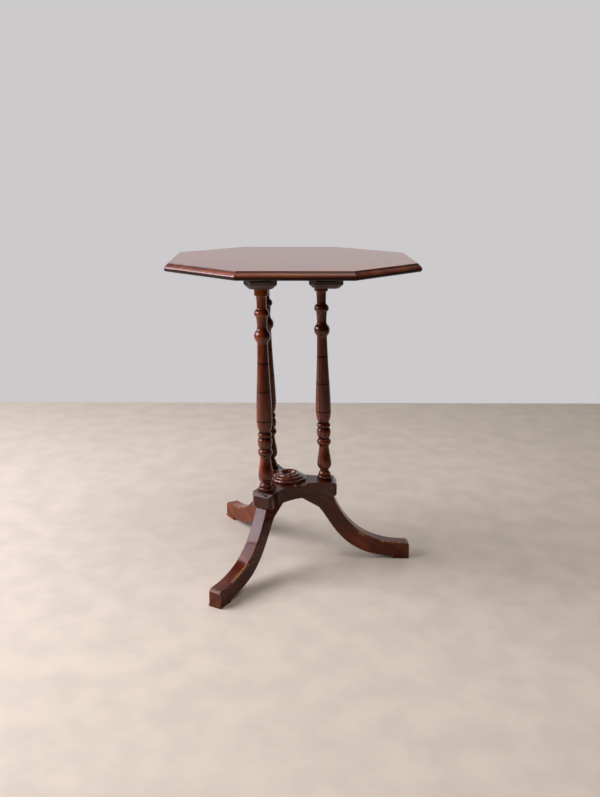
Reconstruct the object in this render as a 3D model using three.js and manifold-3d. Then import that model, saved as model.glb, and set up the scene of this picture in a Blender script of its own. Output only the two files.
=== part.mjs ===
// Tilt top table: octagonal top, three turned columns, triform platform, three sabre legs.
// Millimetres. +Z is up, +X is to the right, +Y is to the back. The origin is on the floor,
// under the centre of the platform.
import * as THREE from 'three';
import { mergeVertices } from 'three/addons/utils/BufferGeometryUtils.js';
import Module from 'manifold-3d';

const wasm = await Module();
wasm.setup();

// ---- driving dimensions -------------------------------------------------------------------

const TABLE_HEIGHT = 700;
const JOINT_GAP = 0.3;

// Top: an octagon with a moulded edge. It was cut from a square, and its four canted sides
// are a little shorter than the others. It sits a little off the centre of its base.
const TOP_FIELD_HALF = 253.5;
const TOP_FIELD_HALF_CANTED = 257.7;
const TOP_THICKNESS = 18;
const TOP_SHIFT_X = 15;
const TOP_TURN_DEG = 1.2;
// Moulding: [outward from the flat field, depth below the top face]
const TOP_MOULDING = [
  [0, 0], [0.8, 0.5], [1.3, 1.7], [3.4, 2.2], [5.6, 3.4], [7.0, 5.4], [7.4, 8.0],
  [8.3, 8.6], [9.0, 10.2], [9.2, 12], [8.8, 14.2], [7.6, 16.2], [5.6, 17.6], [3.4, 18],
];

// Platform
const PLATFORM_TOP = 193;
const PLATFORM_THICKNESS = 34;
const PLATFORM_EAR_HALF_WIDTH = 18;
const PLATFORM_EAR_CORNER = 7.5;
const PLATFORM_WAIST = 47.5;
const PLATFORM_ARRIS = 1;
const EAR_TOP_BEVEL = 7;
const EAR_BOTTOM_BEVEL = 3.5;
const NAIL_HOLE_RADIUS = 1.6;

// Columns stand on the ears and lean a little inwards and to the left.
// A station's "lean" is how far its column's axis moves over COLUMN_LEAN_RISE.
const COLUMN_LEAN_RISE = 397;
const COLUMN_TENON_RADIUS = 9;
const COLUMN_TENON_DEPTH = 22;
const COLUMN_SEGMENTS = 24;
// Turned profile: [height above the floor, radius]
const COLUMN_PROFILE = [
  [193.3, 17.5], [196.4, 17.5], [197.2, 15], [200.5, 15.9], [203.6, 14.6], [204.6, 12.4],
  [207.6, 13.7], [210.6, 12.6], [213.4, 10.4], [217.2, 10.2], [220, 12], [224.5, 15.1],
  [229.6, 16.4], [236.8, 16], [246.5, 14.7], [259, 12.7], [270.5, 11.4], [276.4, 12.7],
  [279, 14.4], [284.4, 16], [289, 14.4], [291.6, 12.1], [295.4, 13.6], [300.5, 15.3],
  [307, 15.9], [313, 15.2], [317.6, 12.2], [320.8, 13.2], [323.6, 15.3], [326.4, 13.2],
  [328.6, 11.6], [334.5, 13.8], [341.5, 15.8], [349, 16.7], [359.2, 17.3], [385, 16.8],
  [413, 15.6], [440.8, 14.2], [477.4, 12.6], [526.5, 11.2], [530.6, 13], [535, 16],
  [542.2, 17.5], [549.5, 15.8], [553.6, 12.8], [558.8, 10.7], [571.9, 11.1], [583, 12.4],
  [586.2, 14.5], [590.2, 15.9], [595, 14.6], [599.6, 10.6], [604, 10.2], [622.5, 10.9],
  [626.6, 12], [628.4, 15.1],
];

// Blocks on the columns, and the cleats that rest on them under the top.
// A station's "block" is the place of its centre: [x, y].
const BLOCK_WIDTH = 70;
const BLOCK_HEIGHT = 21.6;
const BLOCK_CORNER = 14;
const BLOCK_CHAMFER_OUT = 10;
const BLOCK_CHAMFER_UP = 9;
const BLOCK_NOTCH_FLOOR = 16;
const BLOCK_NOTCH_DEPTH = 12;
const BLOCK_NOTCH_TOP_WIDTH = 51;
const BLOCK_NOTCH_FLOOR_WIDTH = 41;
const BLOCK_TENON_RADIUS = 10;

// Legs: side outline in [distance from the centre, height], and the pad under each foot
const LEG_WIDTH = 30;
const LEG_ARRIS = 2.5;
const LEG_REACH = 290;
const LEG_FOOT_HEIGHT = 34;
const LEG_TENON = [42, 12, 14];
const LEG_TENON_RADIUS_POSITION = 84;
const PAD_HEIGHT = 6.2;
const PAD_LENGTH = 38;

// Butt hinges on the left faces of the front and back blocks
const HINGE_LENGTH = 38;
const HINGE_LEAF_THICKNESS = 1.6;
const HINGE_LEAF_HEIGHT = 11;
const HINGE_BARREL_RADIUS = 3;
const HINGE_PIN_RADIUS = 1.4;
const HINGE_RUNNING_CLEARANCE = 0.06;
const HINGE_KNUCKLE_GAP = 0.3;
const HINGE_SCREW_SPACING = 24;
const SCREW_SEGMENTS = 12;

// ---- the three stations -------------------------------------------------------------------

// The table is hand made, and its three stations differ a little: the ears lie at 0, 114 and
// 241.5 degrees. Each leg runs from under its ear along its own line: "legAngle" from "legStart".
const STATIONS = [
  {
    name: 'right', earAngle: 0, earEnd: 117.5, legAngle: 0, legStart: [0, 0],
    foot: [90, 0], lean: [-11.4, 0], block: [87.6, 0], blockLength: 74, blockBottom: 635.5,
  },
  {
    name: 'back', earAngle: 114, earEnd: 109, legAngle: 122.2, legStart: [9.5, 5.7],
    foot: [-35.5, 78], lean: [-11.2, -4], block: [-50.5, 80.9], blockLength: 67, blockBottom: 644.5,
  },
  {
    name: 'front', earAngle: 241.5, earEnd: 112, legAngle: 239.3, legStart: [2.9, -1.7],
    foot: [-42.3, -78], lean: [-7.4, 4], block: [-50.5, -80.9], blockLength: 67, blockBottom: 644.5,
  },
];

for (const station of STATIONS) {
  [station.columnX, station.columnY] = station.foot;
  [station.leanX, station.leanY] = station.lean;
  [station.blockX, station.blockY] = station.block;
  station.blockTop = station.blockBottom + BLOCK_HEIGHT;
}

const TOP_UNDERSIDE = TABLE_HEIGHT - TOP_THICKNESS;
const HINGED = STATIONS.filter((station) => station.name !== 'right');
const HINGE_AXIS_Z = HINGED[0].blockTop + JOINT_GAP / 2;
const BLOCK_LEFT_FACE = HINGED[0].blockX - HINGED[0].blockLength / 2;
const LEAF_BACK_X = BLOCK_LEFT_FACE - JOINT_GAP;
const HINGE_AXIS_X = LEAF_BACK_X - 0.4 - HINGE_BARREL_RADIUS;

// ---- helpers ------------------------------------------------------------------------------

function toManifold(geometry) {
  const clean = geometry.clone();
  clean.deleteAttribute('normal');
  clean.deleteAttribute('uv');
  const merged = mergeVertices(clean, 1e-4);
  const mesh = new wasm.Mesh({
    numProp: 3,
    vertProperties: new Float32Array(merged.attributes.position.array),
    triVerts: new Uint32Array(merged.index.array),
  });
  return new wasm.Manifold(mesh);
}

function toGeometry(manifold) {
  const mesh = manifold.getMesh();
  const geometry = new THREE.BufferGeometry();
  const positions = new Float32Array(mesh.vertProperties);
  geometry.setAttribute('position', new THREE.BufferAttribute(positions, 3));
  geometry.setIndex(new THREE.BufferAttribute(new Uint32Array(mesh.triVerts), 1));
  return geometry;
}

function subtractAll(geometry, cutters) {
  let solid = toManifold(geometry);
  for (const cutter of cutters) {
    solid = solid.subtract(toManifold(cutter));
  }
  return toGeometry(solid);
}

function addAll(geometry, others) {
  let solid = toManifold(geometry);
  for (const other of others) {
    solid = solid.add(toManifold(other));
  }
  return toGeometry(solid);
}

/** A body of revolution about Z. The profile is [radius, height], axis to axis, upwards. */
function turned(profile, segments) {
  const points = profile.map(([radius, height]) => new THREE.Vector2(radius, height));
  const geometry = new THREE.LatheGeometry(points, segments);
  return geometry.rotateX(Math.PI / 2);
}

/** An upright cylinder from z0 to z1. */
function post(radius, z0, z1, segments = 24) {
  return turned([[0, z0], [radius, z0], [radius, z1], [0, z1]], segments);
}

function box(x0, x1, y0, y1, z0, z1) {
  const geometry = new THREE.BoxGeometry(x1 - x0, y1 - y0, z1 - z0);
  return geometry.translate((x0 + x1) / 2, (y0 + y1) / 2, (z0 + z1) / 2);
}

/** A solid through a stack of outlines, each {z, points}, lowest first, closed by flat ends. */
function loft(rings) {
  const positions = [];
  const indices = [];
  const count = rings[0].points.length;
  for (const ring of rings) {
    for (const [x, y] of ring.points) {
      positions.push(x, y, ring.z);
    }
  }
  for (let level = 0; level < rings.length - 1; level += 1) {
    for (let i = 0; i < count; i += 1) {
      const next = (i + 1) % count;
      const a = level * count + i;
      const b = level * count + next;
      const c = (level + 1) * count + next;
      const d = (level + 1) * count + i;
      indices.push(a, b, c, a, c, d);
    }
  }
  const bottom = positions.length / 3;
  positions.push(0, 0, rings[0].z);
  positions.push(0, 0, rings[rings.length - 1].z);
  const lastLevel = (rings.length - 1) * count;
  for (let i = 0; i < count; i += 1) {
    const next = (i + 1) % count;
    indices.push(bottom, next, i);
    indices.push(bottom + 1, lastLevel + i, lastLevel + next);
  }
  const geometry = new THREE.BufferGeometry();
  geometry.setAttribute('position', new THREE.BufferAttribute(new Float32Array(positions), 3));
  geometry.setIndex(indices);
  return geometry;
}

/** A rectangle with canted corners, anticlockwise, centred on the origin. */
function cantedRectangle(length, width, corner, inset = 0) {
  const x = length / 2 - inset;
  const y = width / 2 - inset;
  const c = corner - inset * (2 - Math.SQRT2);
  return [
    [x, -y + c], [x, y - c], [x - c, y], [-x + c, y],
    [-x, y - c], [-x, -y + c], [-x + c, -y], [x - c, -y],
  ];
}

/** Moves a body drawn along +X from the centre onto a station's leg line. */
function alongLeg(geometry, station) {
  return turnZ(geometry, station.legAngle).translate(station.legStart[0], station.legStart[1], 0);
}

/** Leans an upright body at a column's foot the way that the column leans. */
function lean(geometry, station) {
  const x = station.leanX / COLUMN_LEAN_RISE;
  const y = station.leanY / COLUMN_LEAN_RISE;
  const shear = new THREE.Matrix4().set(
    1, 0, x, station.columnX - x * PLATFORM_TOP,
    0, 1, y, station.columnY - y * PLATFORM_TOP,
    0, 0, 1, 0,
    0, 0, 0, 1,
  );
  return geometry.applyMatrix4(shear);
}

function turnZ(geometry, degrees) {
  return geometry.rotateZ(THREE.MathUtils.degToRad(degrees));
}

// ---- the parts ----------------------------------------------------------------------------

/** The top's outline, "outward" beyond its flat field, with straight and canted sides in turn. */
function topOutline(outward) {
  const straight = TOP_FIELD_HALF + outward;
  const canted = TOP_FIELD_HALF_CANTED + outward;
  const across = canted * Math.SQRT2 - straight;
  return [
    [straight, -across], [straight, across], [across, straight], [-across, straight],
    [-straight, across], [-straight, -across], [-across, -straight], [across, -straight],
  ];
}

/** The octagonal top with its moulded edge. */
function topGeometry(screwHoles) {
  const rings = [];
  for (const [outward, depth] of [...TOP_MOULDING].reverse()) {
    rings.push({ z: TOP_THICKNESS - depth, points: topOutline(outward) });
  }
  const geometry = turnZ(loft(rings), TOP_TURN_DEG);
  geometry.translate(TOP_SHIFT_X, 0, TOP_UNDERSIDE);
  return subtractAll(geometry, screwHoles);
}

/** A turned column with a tenon into the platform and a tenon up through its block. */
function columnGeometry(station) {
  const collarTop = station.blockBottom - JOINT_GAP;
  const profile = [
    [0, PLATFORM_TOP - COLUMN_TENON_DEPTH],
    [COLUMN_TENON_RADIUS, PLATFORM_TOP - COLUMN_TENON_DEPTH],
    [COLUMN_TENON_RADIUS, PLATFORM_TOP + JOINT_GAP],
  ];
  for (const [height, radius] of COLUMN_PROFILE) {
    profile.push([radius, height]);
  }
  profile.push([15.1, collarTop]);
  profile.push([BLOCK_TENON_RADIUS, collarTop]);
  profile.push([BLOCK_TENON_RADIUS, station.blockTop - 0.2]);
  profile.push([0, station.blockTop - 0.2]);
  return lean(turned(profile, COLUMN_SEGMENTS), station);
}

/** The sloped-ended recess in the upper edge of a block, cut from one face. */
function notchCutter(width, side) {
  const shape = new THREE.Shape();
  const rise = BLOCK_HEIGHT - BLOCK_NOTCH_FLOOR + 1;
  const spread = (BLOCK_NOTCH_TOP_WIDTH - BLOCK_NOTCH_FLOOR_WIDTH) / 2;
  const half = BLOCK_NOTCH_FLOOR_WIDTH / 2;
  shape.moveTo(-half, BLOCK_NOTCH_FLOOR);
  shape.lineTo(half, BLOCK_NOTCH_FLOOR);
  shape.lineTo(half + spread, BLOCK_NOTCH_FLOOR + rise);
  shape.lineTo(-half - spread, BLOCK_NOTCH_FLOOR + rise);
  const depth = BLOCK_NOTCH_DEPTH + 2;
  const geometry = new THREE.ExtrudeGeometry(shape, { depth, bevelEnabled: false });
  geometry.rotateX(Math.PI / 2);
  const nearFace = width / 2 + 2;
  return geometry.translate(0, side > 0 ? nearFace : depth - nearFace, 0);
}

function blockGeometry(station, screwHoles) {
  const { blockLength: length, blockBottom: z0 } = station;
  const chamferInset = BLOCK_CHAMFER_OUT;
  const rings = [
    { z: 0, points: cantedRectangle(length, BLOCK_WIDTH, BLOCK_CORNER, chamferInset) },
    { z: BLOCK_CHAMFER_UP, points: cantedRectangle(length, BLOCK_WIDTH, BLOCK_CORNER) },
    { z: BLOCK_HEIGHT, points: cantedRectangle(length, BLOCK_WIDTH, BLOCK_CORNER) },
  ];
  const geometry = loft(rings);
  const cutters = [notchCutter(BLOCK_WIDTH, 1), notchCutter(BLOCK_WIDTH, -1)];
  for (const cutter of cutters) {
    cutter.translate(station.blockX, station.blockY, z0);
  }
  geometry.translate(station.blockX, station.blockY, z0);
  const socket = post(BLOCK_TENON_RADIUS + JOINT_GAP, z0 - 1, station.blockTop + 1, COLUMN_SEGMENTS);
  return subtractAll(geometry, [...cutters, lean(socket, station), ...screwHoles]);
}

function cleatGeometry(station, screwHoles) {
  const z0 = station.blockTop + JOINT_GAP;
  const z1 = TOP_UNDERSIDE - JOINT_GAP;
  const outline = cantedRectangle(station.blockLength, BLOCK_WIDTH, BLOCK_CORNER);
  const geometry = loft([{ z: z0, points: outline }, { z: z1, points: outline }]);
  geometry.translate(station.blockX, station.blockY, 0);
  return subtractAll(geometry, screwHoles);
}

/** The four corners of an ear's end, in the order of the outline. */
function earCorners(station, inset) {
  const end = station.earEnd - inset;
  const half = PLATFORM_EAR_HALF_WIDTH - inset * 0.41;
  const shoulder = end - PLATFORM_EAR_CORNER;
  const side = half + PLATFORM_EAR_CORNER;
  const a = THREE.MathUtils.degToRad(station.earAngle);
  const c = Math.cos(a);
  const s = Math.sin(a);
  const corners = [[shoulder, -side], [end, -half], [end, half], [shoulder, side]];
  return corners.map(([x, y]) => [x * c - y * s, x * s + y * c]);
}

/** Points along the arc from a to c through b, without its ends. */
function arcThrough(a, b, c, steps) {
  const d = 2 * (a[0] * (b[1] - c[1]) + b[0] * (c[1] - a[1]) + c[0] * (a[1] - b[1]));
  const [sa, sb, sc] = [a, b, c].map(([x, y]) => x * x + y * y);
  const x = (sa * (b[1] - c[1]) + sb * (c[1] - a[1]) + sc * (a[1] - b[1])) / d;
  const y = (sa * (c[0] - b[0]) + sb * (a[0] - c[0]) + sc * (b[0] - a[0])) / d;
  const radius = Math.hypot(a[0] - x, a[1] - y);
  const start = Math.atan2(a[1] - y, a[0] - x);
  let sweep = Math.atan2(c[1] - y, c[0] - x) - start;
  if (sweep > Math.PI) sweep -= 2 * Math.PI;
  if (sweep < -Math.PI) sweep += 2 * Math.PI;
  const points = [];
  for (let i = 1; i < steps; i += 1) {
    const at = start + (sweep * i) / steps;
    points.push([x + radius * Math.cos(at), y + radius * Math.sin(at)]);
  }
  return points;
}

/** The platform's outline: each ear's corners, then the concave side to the next ear. */
function platformOutline(inset = 0) {
  const points = [];
  STATIONS.forEach((station, i) => {
    const next = STATIONS[(i + 1) % STATIONS.length];
    const turn = (next.earAngle - station.earAngle + 360) % 360;
    const middle = THREE.MathUtils.degToRad(station.earAngle + turn / 2);
    const waist = PLATFORM_WAIST - inset;
    const corners = earCorners(station, inset);
    const deepest = [waist * Math.cos(middle), waist * Math.sin(middle)];
    points.push(...corners, ...arcThrough(corners[3], deepest, earCorners(next, inset)[0], 12));
  });
  return points;
}

/** A wedge that bevels the upper edge (or, upside down, the lower edge) of an ear's end. */
function earBevelCutter(station, size, upper) {
  const reach = size * 3;
  const cutter = box(0, reach, -40, 40, -reach, reach);
  cutter.rotateY(THREE.MathUtils.degToRad(upper ? -45 : 45));
  const edge = upper ? PLATFORM_TOP - size / 2 : PLATFORM_TOP - PLATFORM_THICKNESS + size / 2;
  cutter.translate(station.earEnd - size / 2, 0, edge);
  return turnZ(cutter, station.earAngle);
}

function platformGeometry() {
  const z0 = PLATFORM_TOP - PLATFORM_THICKNESS;
  const geometry = loft([
    { z: z0, points: platformOutline(PLATFORM_ARRIS) },
    { z: z0 + PLATFORM_ARRIS, points: platformOutline() },
    { z: PLATFORM_TOP - PLATFORM_ARRIS, points: platformOutline() },
    { z: PLATFORM_TOP, points: platformOutline(PLATFORM_ARRIS) },
  ]);
  const cutters = [];
  for (const station of STATIONS) {
    cutters.push(earBevelCutter(station, EAR_TOP_BEVEL, true));
    cutters.push(earBevelCutter(station, EAR_BOTTOM_BEVEL, false));
    const socketRadius = COLUMN_TENON_RADIUS + JOINT_GAP;
    const socketFloor = PLATFORM_TOP - COLUMN_TENON_DEPTH - JOINT_GAP;
    const socket = post(socketRadius, socketFloor, PLATFORM_TOP + 1, COLUMN_SEGMENTS);
    cutters.push(lean(socket, station));
    const [length, width, height] = LEG_TENON;
    const mortise = box(
      LEG_TENON_RADIUS_POSITION - length / 2 - JOINT_GAP,
      LEG_TENON_RADIUS_POSITION + length / 2 + JOINT_GAP,
      -width / 2 - JOINT_GAP,
      width / 2 + JOINT_GAP,
      z0 - 1,
      z0 + height - 4.5,
    );
    cutters.push(alongLeg(mortise, station));
  }
  const spigotHole = post(BOSS_SPIGOT_RADIUS + JOINT_GAP, PLATFORM_TOP - 10, PLATFORM_TOP + 1);
  cutters.push(spigotHole.translate(BOSS_SHIFT_X, 0, 0));

  // The nail hole in the bevel at the end of the front ear, near its right corner
  const nail = post(NAIL_HOLE_RADIUS, PLATFORM_TOP - 10, PLATFORM_TOP + 2, 12);
  const frontEar = STATIONS.find((station) => station.name === 'front');
  nail.translate(frontEar.earEnd - EAR_TOP_BEVEL / 2, 11, 0);
  cutters.push(turnZ(nail, frontEar.earAngle));
  return subtractAll(geometry, cutters);
}

// Boss on the platform, a little right of its centre: [radius, height above the platform]
const BOSS_SPIGOT_RADIUS = 8;
const BOSS_SHIFT_X = 7;
const BOSS_PROFILE = [
  [38.6, 0.3], [40.5, 2.4], [40.5, 4.8], [38.4, 7], [35, 7.6], [35.2, 9.6], [33.2, 11.6],
  [29.6, 12], [26.6, 13.2], [25, 15.4], [21.6, 16.6], [17.8, 15.2], [15, 11.6], [12, 9.2],
  [7, 8.4], [5.6, 9.6], [5.2, 11.6], [3, 12.8],
];

function bossGeometry() {
  const profile = [[0, -9], [BOSS_SPIGOT_RADIUS, -9], [BOSS_SPIGOT_RADIUS, 0.3]];
  profile.push(...BOSS_PROFILE);
  profile.push([0, 13]);
  return turned(profile, 28).translate(BOSS_SHIFT_X, 0, PLATFORM_TOP);
}

/** Side outline of a leg, in the plane of its length and its height. */
function legShape() {
  const top = PLATFORM_TOP - PLATFORM_THICKNESS - JOINT_GAP;
  const shape = new THREE.Shape();
  shape.moveTo(LEG_REACH, PAD_HEIGHT + JOINT_GAP);
  shape.lineTo(LEG_REACH, LEG_FOOT_HEIGHT);
  shape.lineTo(LEG_REACH - 6, LEG_FOOT_HEIGHT + 5.5);
  shape.bezierCurveTo(165.7, 38.5, 130.3, 110, 109, top);
  shape.lineTo(24, top);
  shape.lineTo(77, 128.5);
  shape.bezierCurveTo(110, 90, 132.2, 8.5, 250, PAD_HEIGHT + JOINT_GAP);
  return shape;
}

function legGeometry(station) {
  const geometry = new THREE.ExtrudeGeometry(legShape(), {
    depth: LEG_WIDTH - 2 * LEG_ARRIS,
    curveSegments: 14,
    bevelEnabled: true,
    bevelSize: LEG_ARRIS,
    bevelOffset: -LEG_ARRIS,
    bevelThickness: LEG_ARRIS,
    bevelSegments: 2,
  });
  geometry.rotateX(Math.PI / 2);
  geometry.translate(0, LEG_WIDTH / 2 - LEG_ARRIS, 0);
  const [length, width, height] = LEG_TENON;
  const z0 = PLATFORM_TOP - PLATFORM_THICKNESS;
  const tenon = box(
    LEG_TENON_RADIUS_POSITION - length / 2,
    LEG_TENON_RADIUS_POSITION + length / 2,
    -width / 2,
    width / 2,
    z0 - 6,
    z0 + height - 5,
  );
  return alongLeg(addAll(geometry, [tenon]), station);
}

function padGeometry(station) {
  const half = LEG_WIDTH / 2;
  const outline = (inset) => {
    const x0 = LEG_REACH - PAD_LENGTH + inset;
    const x1 = LEG_REACH - inset;
    const y = half - inset;
    return [[x1, -y], [x1, y], [x0, y], [x0, -y]];
  };
  const centre = LEG_REACH - PAD_LENGTH / 2;
  const rings = [
    { z: 0, points: outline(0.8) },
    { z: 0.8, points: outline(0) },
    { z: PAD_HEIGHT, points: outline(0) },
  ];
  for (const ring of rings) {
    ring.points = ring.points.map(([x, y]) => [x - centre, y]);
  }
  return alongLeg(loft(rings).translate(centre, 0, 0), station);
}

/** A slotted countersunk screw, head face up at z = 0, shank downwards. */
function screwGeometry(headRadius, shankRadius, length) {
  const body = turned([
    [0, -length], [shankRadius * 0.4, -length], [shankRadius, -length + 2.5],
    [shankRadius, -headRadius * 0.6], [headRadius, -0.25], [headRadius, 0], [0, 0],
  ], SCREW_SEGMENTS);
  const slot = box(-headRadius - 1, headRadius + 1, -0.3, 0.3, -0.5, 1);
  return subtractAll(body, [slot]);
}

/** The hole a screw goes in: the screw's own shape, larger all round. */
function screwHole(headRadius, shankRadius, length) {
  const g = 0.15;
  return turned([
    [0, -length - g], [shankRadius + g, -length - g], [shankRadius + g, -headRadius * 0.6 - g],
    [headRadius + g, -0.25 - g], [headRadius + g, 3], [0, 3],
  ], SCREW_SEGMENTS);
}

/** One leaf of a butt hinge with its knuckles. dir is -1 for the lower leaf, 1 for the upper. */
function leafGeometry(station, dir, knuckles) {
  const y = station.blockY;
  const x0 = LEAF_BACK_X - HINGE_LEAF_THICKNESS;
  const near = HINGE_AXIS_Z + dir * (HINGE_BARREL_RADIUS - 0.1);
  const far = HINGE_AXIS_Z + dir * (HINGE_LEAF_HEIGHT + 0.5);
  const z0 = Math.min(near, far);
  const z1 = Math.max(near, far);
  const plate = box(x0, LEAF_BACK_X, y - HINGE_LENGTH / 2, y + HINGE_LENGTH / 2, z0, z1);
  const joins = [];
  const cuts = [];
  for (const [from, to] of knuckles) {
    const barrel = post(HINGE_BARREL_RADIUS, from, to, 20).rotateX(-Math.PI / 2);
    joins.push(barrel.translate(HINGE_AXIS_X, y, HINGE_AXIS_Z));
    const rootEdge = HINGE_AXIS_Z + dir * (HINGE_BARREL_RADIUS + 0.2);
    const low = Math.min(rootEdge, HINGE_AXIS_Z);
    const high = Math.max(rootEdge, HINGE_AXIS_Z);
    joins.push(box(HINGE_AXIS_X, LEAF_BACK_X, y + from, y + to, low, high));
  }
  const bore = HINGE_PIN_RADIUS + HINGE_RUNNING_CLEARANCE;
  const hole = post(bore, -HINGE_LENGTH, HINGE_LENGTH, 20).rotateX(-Math.PI / 2);
  cuts.push(hole.translate(HINGE_AXIS_X, y, HINGE_AXIS_Z));
  return { plate, joins, cuts };
}

// ---- assembly -----------------------------------------------------------------------------

const group = new THREE.Group();
group.name = 'tilt_top_table';

const FINISHES = {
  mahogany: { color: 0x5a2316, roughness: 0.28, metalness: 0 },
  mahogany_top: { color: 0x7a3a22, roughness: 0.22, metalness: 0 },
  mahogany_dark: { color: 0x3d2a26, roughness: 0.5, metalness: 0 },
  brass: { color: 0xa8823c, roughness: 0.35, metalness: 1 },
  screw_steel: { color: 0x6a655e, roughness: 0.4, metalness: 1 },
};

function add(name, geometry, finish) {
  const material = new THREE.MeshStandardMaterial(FINISHES[finish]);
  material.name = finish;
  const mesh = new THREE.Mesh(geometry, material);
  mesh.name = name;
  group.add(mesh);
}

// Screws up through each cleat into the top
const CLEAT_SCREW = { head: 3.6, shank: 1.8 };
const topHoles = [];
const cleatHoles = { right: [], back: [], front: [] };
for (const station of STATIONS) {
  const cleatBottom = station.blockTop + JOINT_GAP;
  const length = TOP_UNDERSIDE - cleatBottom + 9;
  for (const [label, side] of [['a', -1], ['b', 1]]) {
    const place = (geometry) => {
      geometry.rotateX(Math.PI);
      return geometry.translate(station.blockX, station.blockY + side * 22, cleatBottom + 0.6);
    };
    const screw = place(screwGeometry(CLEAT_SCREW.head, CLEAT_SCREW.shank, length));
    add(`cleat_screw_${station.name}_${label}`, screw, 'screw_steel');
    topHoles.push(place(screwHole(CLEAT_SCREW.head, CLEAT_SCREW.shank, length)));
    cleatHoles[station.name].push(place(screwHole(CLEAT_SCREW.head, CLEAT_SCREW.shank, length)));
  }
}

// Butt hinges, and the screws through their leaves
const LEAF_SCREW = { head: 2.4, shank: 1.2, length: 12 };
const blockHoles = { right: [], back: [], front: [] };
for (const station of HINGED) {
  const third = HINGE_LENGTH / 3;
  const g = HINGE_KNUCKLE_GAP;
  const end = HINGE_LENGTH / 2;
  const leaves = [
    { part: 'fixed_leaf', dir: -1, knuckles: [[-end, -third / 2 - g], [third / 2 + g, end]] },
    { part: 'moving_leaf', dir: 1, knuckles: [[-third / 2, third / 2]] },
  ];
  for (const leaf of leaves) {
    const { plate, joins, cuts } = leafGeometry(station, leaf.dir, leaf.knuckles);
    const holes = leaf.dir < 0 ? blockHoles[station.name] : cleatHoles[station.name];
    const z = HINGE_AXIS_Z + leaf.dir * (HINGE_LEAF_HEIGHT / 2 + 1.6);
    for (const [label, side] of [['a', -1], ['b', 1]]) {
      const place = (geometry) => {
        geometry.rotateY(-Math.PI / 2);
        const x = LEAF_BACK_X - HINGE_LEAF_THICKNESS + 0.1;
        return geometry.translate(x, station.blockY + side * (HINGE_SCREW_SPACING / 2), z);
      };
      const screw = screwGeometry(LEAF_SCREW.head, LEAF_SCREW.shank, LEAF_SCREW.length);
      const kind = leaf.dir < 0 ? 'fixed' : 'moving';
      add(`hinge_${station.name}_${kind}_screw_${label}`, place(screw), 'screw_steel');
      cuts.push(place(screwHole(LEAF_SCREW.head, LEAF_SCREW.shank, LEAF_SCREW.length)));
      holes.push(place(screwHole(LEAF_SCREW.head, LEAF_SCREW.shank, LEAF_SCREW.length)));
    }
    const solid = subtractAll(addAll(plate, joins), cuts);
    add(`hinge_${station.name}_${leaf.part}`, solid, 'brass');
  }
  const pin = post(HINGE_PIN_RADIUS, -end - 0.8, end + 0.8, 20).rotateX(-Math.PI / 2);
  pin.translate(HINGE_AXIS_X, station.blockY, HINGE_AXIS_Z);
  add(`hinge_${station.name}_pin`, pin, 'brass');
}

add('table_top', topGeometry(topHoles), 'mahogany_top');
for (const station of STATIONS) {
  add(`cleat_${station.name}`, cleatGeometry(station, cleatHoles[station.name]), 'mahogany_dark');
  add(`block_${station.name}`, blockGeometry(station, blockHoles[station.name]), 'mahogany_dark');
  add(`column_${station.name}`, columnGeometry(station), 'mahogany');
  add(`leg_${station.name}`, legGeometry(station), 'mahogany');
  add(`foot_pad_${station.name}`, padGeometry(station), 'mahogany');
}
add('platform', platformGeometry(), 'mahogany');
add('platform_boss', bossGeometry(), 'mahogany');

export default group;
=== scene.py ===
"""A mahogany tilt top table: octagonal top, three turned columns, triform platform, three sabre legs."""

import sys

import logging
import math
from dataclasses import dataclass
from enum import Enum
from typing import Any, Callable, Sequence

import bmesh
import bpy
from mathutils import Matrix, Vector

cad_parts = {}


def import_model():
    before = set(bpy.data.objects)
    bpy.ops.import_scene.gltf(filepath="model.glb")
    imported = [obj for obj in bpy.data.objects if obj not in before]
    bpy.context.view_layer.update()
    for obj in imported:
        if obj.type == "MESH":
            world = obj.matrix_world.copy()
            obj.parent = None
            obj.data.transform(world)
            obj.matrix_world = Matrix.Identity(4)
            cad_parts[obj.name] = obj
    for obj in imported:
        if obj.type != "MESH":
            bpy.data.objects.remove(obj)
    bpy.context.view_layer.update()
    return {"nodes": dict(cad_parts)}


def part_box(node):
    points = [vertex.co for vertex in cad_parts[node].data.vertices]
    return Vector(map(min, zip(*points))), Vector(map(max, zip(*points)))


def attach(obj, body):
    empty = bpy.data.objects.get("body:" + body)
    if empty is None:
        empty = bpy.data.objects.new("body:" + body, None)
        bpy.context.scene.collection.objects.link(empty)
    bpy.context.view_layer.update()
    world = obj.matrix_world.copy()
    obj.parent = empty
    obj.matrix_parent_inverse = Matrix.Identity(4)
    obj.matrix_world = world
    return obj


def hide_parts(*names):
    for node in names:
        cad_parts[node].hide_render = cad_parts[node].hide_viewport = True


MM = 0.001
OVERCUT = 0.002
"""How far a cutter runs past the face that it leaves through, in metres."""
LOG = logging.getLogger("tilt_top_table")
Outline = Sequence[tuple[float, float]]
Colour = tuple[float, float, float]
Piece = bpy.types.Object
Finish = bpy.types.Material
Socket = bpy.types.NodeSocket


@dataclass(frozen=True)
class Stance:
    """How one of the three stations stands: its ear and its leg, in degrees and millimetres."""

    ear_angle: float
    ear_end: float
    leg_angle: float
    leg_start: tuple[float, float]

    def outward(self) -> Vector:
        """The way that the ear points."""
        return Matrix.Rotation(math.radians(self.ear_angle), 3, "Z") @ Vector((1.0, 0.0, 0.0))

    def on_ear(self, x: float, y: float) -> Vector:
        """A place drawn along +X, turned onto the ear's line."""
        return Matrix.Rotation(math.radians(self.ear_angle), 3, "Z") @ Vector((x * MM, y * MM, 0.0))

    def on_leg(self, x: float, y: float, z: float) -> Vector:
        """A place drawn along +X, moved onto the leg's line."""
        turned = Matrix.Rotation(math.radians(self.leg_angle), 3, "Z") @ Vector((x * MM, y * MM, z * MM))
        return turned + Vector((self.leg_start[0] * MM, self.leg_start[1] * MM, 0.0))


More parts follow.
